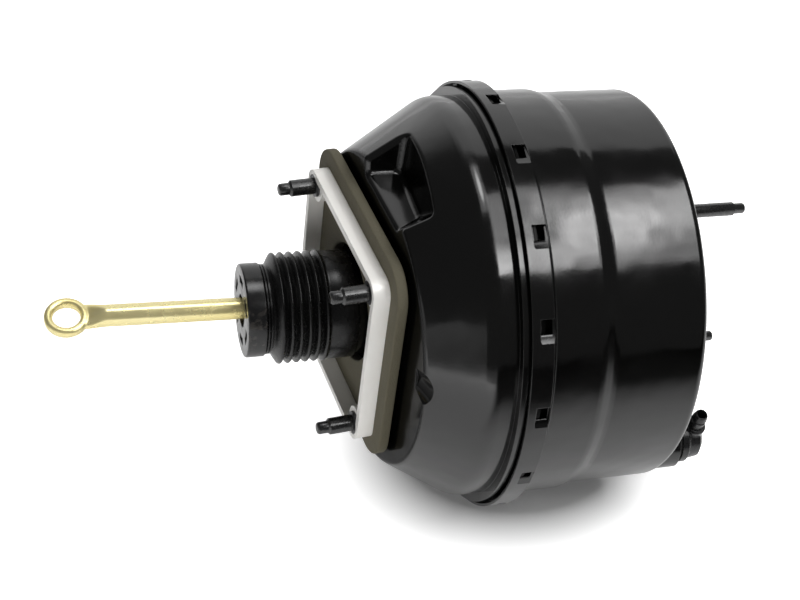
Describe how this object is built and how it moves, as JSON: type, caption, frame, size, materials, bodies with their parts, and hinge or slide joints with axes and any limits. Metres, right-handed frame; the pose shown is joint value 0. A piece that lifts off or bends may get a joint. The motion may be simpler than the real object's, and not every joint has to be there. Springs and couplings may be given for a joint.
{
  "type": "brake booster",
  "caption": "Tandem vacuum brake booster: pressed steel shells joined by lanced tabs, bulkhead stud frame, bellows boot, input rod with eye, vacuum check valve.",
  "frame": {"origin": "centre of the face that seats on the bulkhead, midway between the four bulkhead studs", "axes": "+X along the booster's axis towards the master cylinder, +Z square to the axis and along one side of the bulkhead stud square, +Y completes the frame; the bulkhead face is turned 6 degrees about Z from square to X"},
  "size_m": [0.4296, 0.26, 0.26],
  "materials": {
    "shell_paint": "gloss black paint",
    "pressed_steel": "bare pressed steel",
    "pressed_aluminium": "pressed aluminium sheet",
    "cast_aluminium": "bare aluminium, machined edge",
    "black_studs": "black phosphated and oiled steel",
    "yellow_zinc": "yellow zinc plate",
    "dark_retainer": "dark push-on retainers",
    "gasket": "brown-gray foam gasket",
    "seal_rubber": "black seal rubber",
    "diaphragm_rubber": "rubberised fabric",
    "boot_rubber": "satin black boot rubber",
    "piston_moulding": "moulded phenolic",
    "valve_metal": "turned aluminium",
    "cap_plastic": "satin black plastic",
    "valve_plastic": "black moulded plastic",
    "spring_steel": "oiled spring steel",
    "filter_foam": "open foam"
  },
  "bodies": {
    "housing": {"front_housing": "shell_paint", "rear_housing": "shell_paint", "housing_divider": "pressed_steel", "divider_seal": "seal_rubber", "neck_seal": "seal_rubber", "neck_retainer": "pressed_steel", "rear_stiffener": "pressed_steel", "firewall_studs": "black_studs", "stud_retainers": "dark_retainer", "spacer_frame": "cast_aluminium", "firewall_gasket": "gasket", "front_stiffener": "pressed_steel", "master_cylinder_studs": "black_studs", "front_seal": "seal_rubber", "rear_diaphragm": "diaphragm_rubber", "front_diaphragm": "diaphragm_rubber", "return_spring": "spring_steel", "dust_boot": "boot_rubber", "check_valve_grommet": "seal_rubber", "check_valve_body": "valve_plastic", "check_valve_spring": "spring_steel"},
    "piston": {"power_piston": "piston_moulding", "rear_plate": "pressed_aluminium", "front_plate": "pressed_aluminium", "valve_key": "pressed_steel", "plate_retainer": "pressed_steel", "reaction_disc": "seal_rubber", "output_rod": "yellow_zinc", "control_poppet": "seal_rubber", "poppet_retainer": "pressed_steel", "poppet_spring": "spring_steel", "air_filter": "filter_foam", "boot_end_cap": "cap_plastic", "rod_return_spring": "spring_steel"},
    "plunger": {"air_valve": "valve_metal"},
    "input_rod": {"push_rod": "yellow_zinc", "rod_spring_seat": "pressed_steel"},
    "valve_disc": {"check_valve_disc": "valve_plastic"}
  },
  "joints": [
    {"name": "piston_stroke", "type": "slide", "parent": "housing", "child": "piston", "axis": [1, 0, 0], "range_m": [0, 0.032], "stiffness_N_per_m": 2500, "springref_m": -0.04, "deforming": ["return_spring", "dust_boot", "rear_diaphragm", "front_diaphragm"]},
    {"name": "valve_travel", "type": "slide", "parent": "piston", "child": "plunger", "axis": [1, 0, 0], "range_m": [0, 0.003], "stiffness_N_per_m": 2000, "springref_m": -0.01, "deforming": ["rod_return_spring", "poppet_spring"]},
    {"name": "rod_swing", "type": "hinge", "parent": "plunger", "child": "input_rod", "pos_m": [0.018, 0, 0], "axis": [0, -0.2588, 0.9659], "range_deg": [-0.8, 3.6]},
    {"name": "check_valve_lift", "type": "slide", "parent": "housing", "child": "valve_disc", "axis": [1, 0, 0], "range_m": [0, 0.002], "stiffness_N_per_m": 150, "springref_m": -0.001, "deforming": ["check_valve_spring"]}
  ]
}
